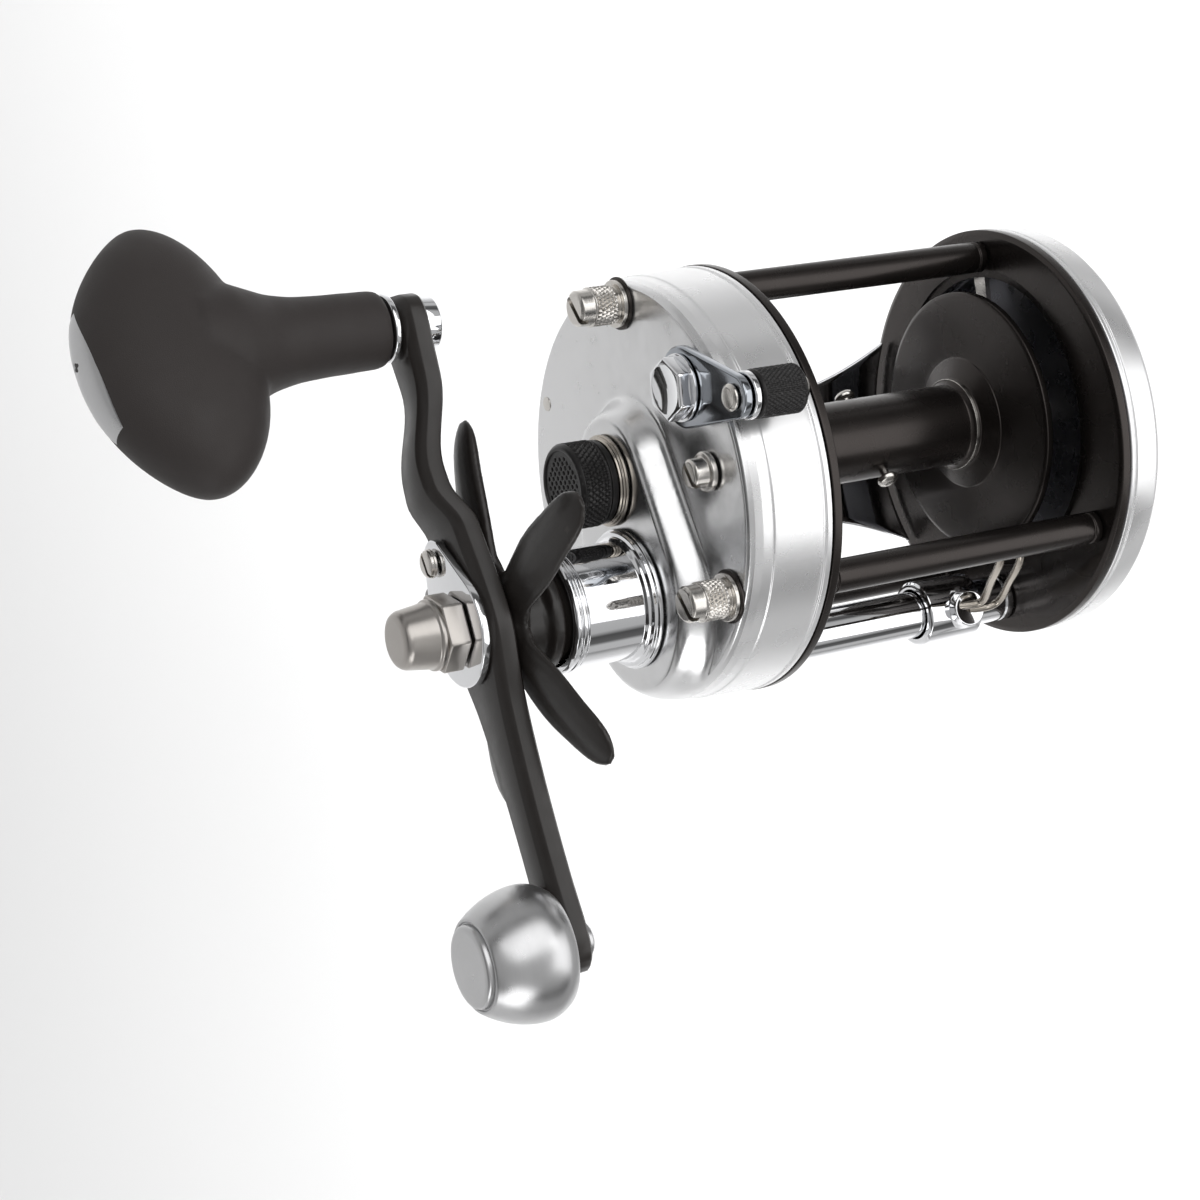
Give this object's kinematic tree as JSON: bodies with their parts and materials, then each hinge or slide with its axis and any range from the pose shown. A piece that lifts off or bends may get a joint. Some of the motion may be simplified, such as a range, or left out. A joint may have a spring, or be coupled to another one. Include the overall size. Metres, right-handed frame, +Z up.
{
  "type": "trolling reel",
  "caption": "Round level-wind trolling reel with a star drag, a clutch thumb lever, a counterweighted crank with a T-shaped power knob, and a foot that clamps in a rod reel seat.",
  "frame": {"origin": "centre of the underside of the reel foot, the face that the rod reel seat clamps", "axes": "+X along the spool axis towards the handle, +Y towards the rod tip and the line guide, +Z up, away from the rod"},
  "size_m": [0.1615, 0.1204, 0.0791],
  "materials": {
    "satin_aluminium": "satin machined and lacquered",
    "polished_chrome": "mirror polished",
    "black_anodised": "black anodised, fine turned grain",
    "black_enamel": "satin black",
    "soft_black": "soft-touch matte",
    "nickel_steel": "nickel plated",
    "brass": "machined",
    "drag_fibre": "woven fibre",
    "white_nylon": "moulded"
  },
  "bodies": {
    "frame": {"frame_plate_right": "black_anodised", "frame_plate_left": "black_anodised", "pillar_rear": "black_anodised", "pillar_top": "black_anodised", "pillar_front": "black_anodised", "reel_foot": "polished_chrome", "foot_rivet_right_front": "polished_chrome", "foot_rivet_right_rear": "polished_chrome", "foot_rivet_left_front": "polished_chrome", "foot_rivet_left_rear": "polished_chrome", "right_cover": "satin_aluminium", "left_cover": "satin_aluminium", "thumb_screw_rear": "nickel_steel", "thumb_screw_top": "nickel_steel", "thumb_screw_front": "nickel_steel", "left_screw_rear": "nickel_steel", "left_screw_top": "nickel_steel", "left_screw_front": "nickel_steel", "bridge_plate": "nickel_steel", "cover_screw": "nickel_steel", "gear_sleeve": "polished_chrome", "cap_ring": "brass", "spool_bearing_right": "nickel_steel", "spool_bearing_left": "nickel_steel", "one_way_bearing": "nickel_steel", "guide_tube": "polished_chrome", "click_tongue": "nickel_steel"},
    "crank": {"drive_shaft": "nickel_steel", "main_gear": "brass", "drag_washer_inner": "drag_fibre", "drag_washer_outer": "nickel_steel", "level_wind_gear": "white_nylon", "handle_arm": "black_enamel", "handle_nut": "nickel_steel", "nut_retainer": "polished_chrome", "retainer_screw": "nickel_steel", "counterweight": "polished_chrome", "knob_spindle": "polished_chrome"},
    "star": {"star_drag": "black_enamel"},
    "knob": {"power_knob": "soft_black", "knob_end_cap": "polished_chrome"},
    "spool_body": {"spool": "black_anodised", "spool_shaft": "nickel_steel", "line_pin_a": "nickel_steel", "line_pin_b": "nickel_steel"},
    "yoke": {"clutch_yoke": "brass"},
    "pinion_body": {"pinion": "brass"},
    "worm": {"worm_shaft": "nickel_steel", "worm_gear": "white_nylon"},
    "guide": {"guide_carriage": "polished_chrome", "guide_pawl": "brass", "pawl_cap": "polished_chrome", "guide_wires": "nickel_steel"},
    "lever": {"clutch_lever": "polished_chrome", "lever_pivot_cap": "polished_chrome", "lever_roller": "black_enamel", "roller_pin": "nickel_steel"},
    "cap": {"tension_cap": "black_anodised"},
    "clicker": {"clicker_button": "nickel_steel"}
  },
  "joints": [
    {"name": "crank_turn", "type": "hinge", "parent": "frame", "child": "crank", "pos_m": [0.05, 0.0155, 0.0405], "axis": [1, 0, 0], "continuous": true},
    {"name": "star_turn", "type": "hinge", "parent": "crank", "child": "star", "pos_m": [0.062, 0.0155, 0.0405], "axis": [1, 0, 0], "range_deg": [-90, 180]},
    {"name": "knob_spin", "type": "hinge", "parent": "crank", "child": "knob", "pos_m": [0.09, -0.02976, 0.02709], "axis": [1, 0, 0], "continuous": true},
    {"name": "spool_spin", "type": "hinge", "parent": "frame", "child": "spool_body", "pos_m": [0, -0.0025, 0.039], "axis": [1, 0, 0], "continuous": true},
    {"name": "lever_tip", "type": "hinge", "parent": "frame", "child": "lever", "pos_m": [0.043, -0.0148, 0.0617], "axis": [1, 0, 0], "range_deg": [0, 20]},
    {"name": "yoke_slide", "type": "slide", "parent": "frame", "child": "yoke", "axis": [1, 0, 0], "range_m": [0, 0.001]},
    {"name": "pinion_spin", "type": "hinge", "parent": "yoke", "child": "pinion_body", "pos_m": [0.038, -0.0025, 0.039], "axis": [1, 0, 0], "continuous": true},
    {"name": "worm_spin", "type": "hinge", "parent": "frame", "child": "worm", "pos_m": [0, 0.027, 0.036], "axis": [1, 0, 0], "continuous": true},
    {"name": "guide_slide", "type": "slide", "parent": "frame", "child": "guide", "axis": [1, 0, 0], "range_m": [-0.0045, 0.0312]},
    {"name": "cap_turn", "type": "hinge", "parent": "frame", "child": "cap", "pos_m": [0.05, -0.0025, 0.039], "axis": [1, 0, 0], "range_deg": [-180, 180]},
    {"name": "clicker_push", "type": "slide", "parent": "frame", "child": "clicker", "axis": [1, 0, 0], "range_m": [0, 0.001]}
  ],
  "couplings": [
    {"joint": "spool_spin", "follows": "crank_turn", "ratio": -4.0667},
    {"joint": "pinion_spin", "follows": "crank_turn", "ratio": -4.0667},
    {"joint": "worm_spin", "follows": "crank_turn", "ratio": -2.5714},
    {"joint": "yoke_slide", "follows": "lever_tip", "m_per_rad": 0.0027949}
  ]
}
